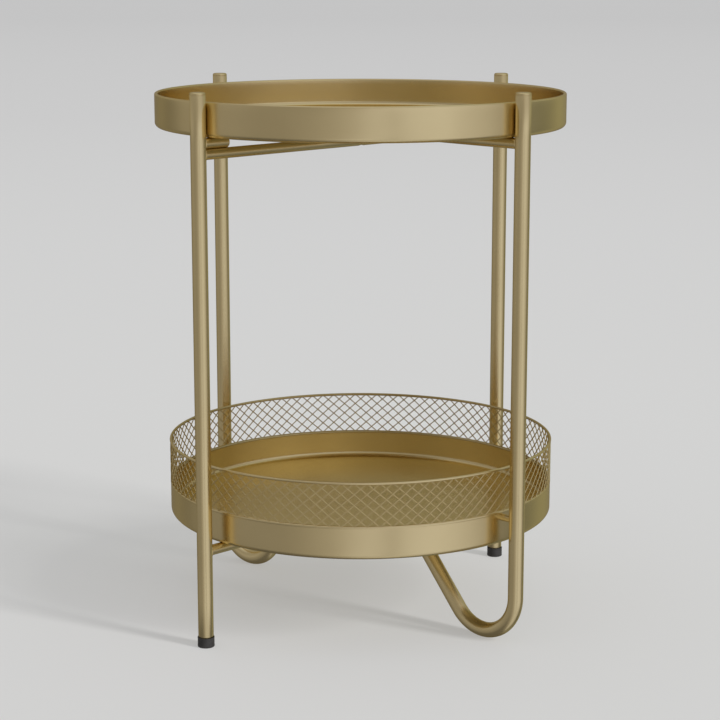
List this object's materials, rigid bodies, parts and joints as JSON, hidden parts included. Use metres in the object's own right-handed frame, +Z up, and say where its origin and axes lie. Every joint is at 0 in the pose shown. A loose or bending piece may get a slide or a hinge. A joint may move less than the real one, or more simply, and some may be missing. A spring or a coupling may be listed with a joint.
{
  "type": "tiered side table",
  "caption": "Round side table with a lift-off upper tray, a lower tray fenced by diamond wire mesh, upright tube posts, rod crossbars and looped floor legs.",
  "frame": {"origin": "on the floor, at the axis where the two crossed frames and both trays are centred", "axes": "+Z up; +X to the right loop leg's post, +Y to the back post, so the two tube frames stand in the XZ and YZ planes"},
  "size_m": [0.4704, 0.472, 0.573],
  "materials": {
    "satin_gold": "satin gold paint on steel tube and rod",
    "satin_gold_aluminium": "satin gold paint on aluminium sheet",
    "black_rubber": "matt black rubber",
    "zinc_steel": "bright zinc plate"
  },
  "bodies": {
    "frame": {"front_post": "satin_gold", "back_post": "satin_gold", "upper_crossbar_low": "satin_gold", "lower_crossbar": "satin_gold", "tray_rest_stubs": "satin_gold", "front_foot": "black_rubber", "back_foot": "black_rubber", "right_loop_leg": "satin_gold", "left_loop_leg": "satin_gold", "leg_joint_sleeve": "zinc_steel", "upper_crossbar_high": "satin_gold", "tray_spacers": "satin_gold", "post_top_caps": "satin_gold", "upper_crossing_screw": "zinc_steel", "lower_crossing_screw": "zinc_steel", "saddle_washer": "zinc_steel", "lower_tray": "satin_gold_aluminium", "gallery_bottom_hem": "satin_gold", "gallery_left_hand_wires": "satin_gold", "gallery_right_hand_wires": "satin_gold", "gallery_top_rim": "satin_gold"},
    "top_tray_body": {"top_tray": "satin_gold_aluminium"}
  },
  "joints": [
    {"name": "top_tray_lift", "type": "slide", "parent": "frame", "child": "top_tray_body", "axis": [0, 0, 1], "range_m": [0, 0.06]}
  ]
}
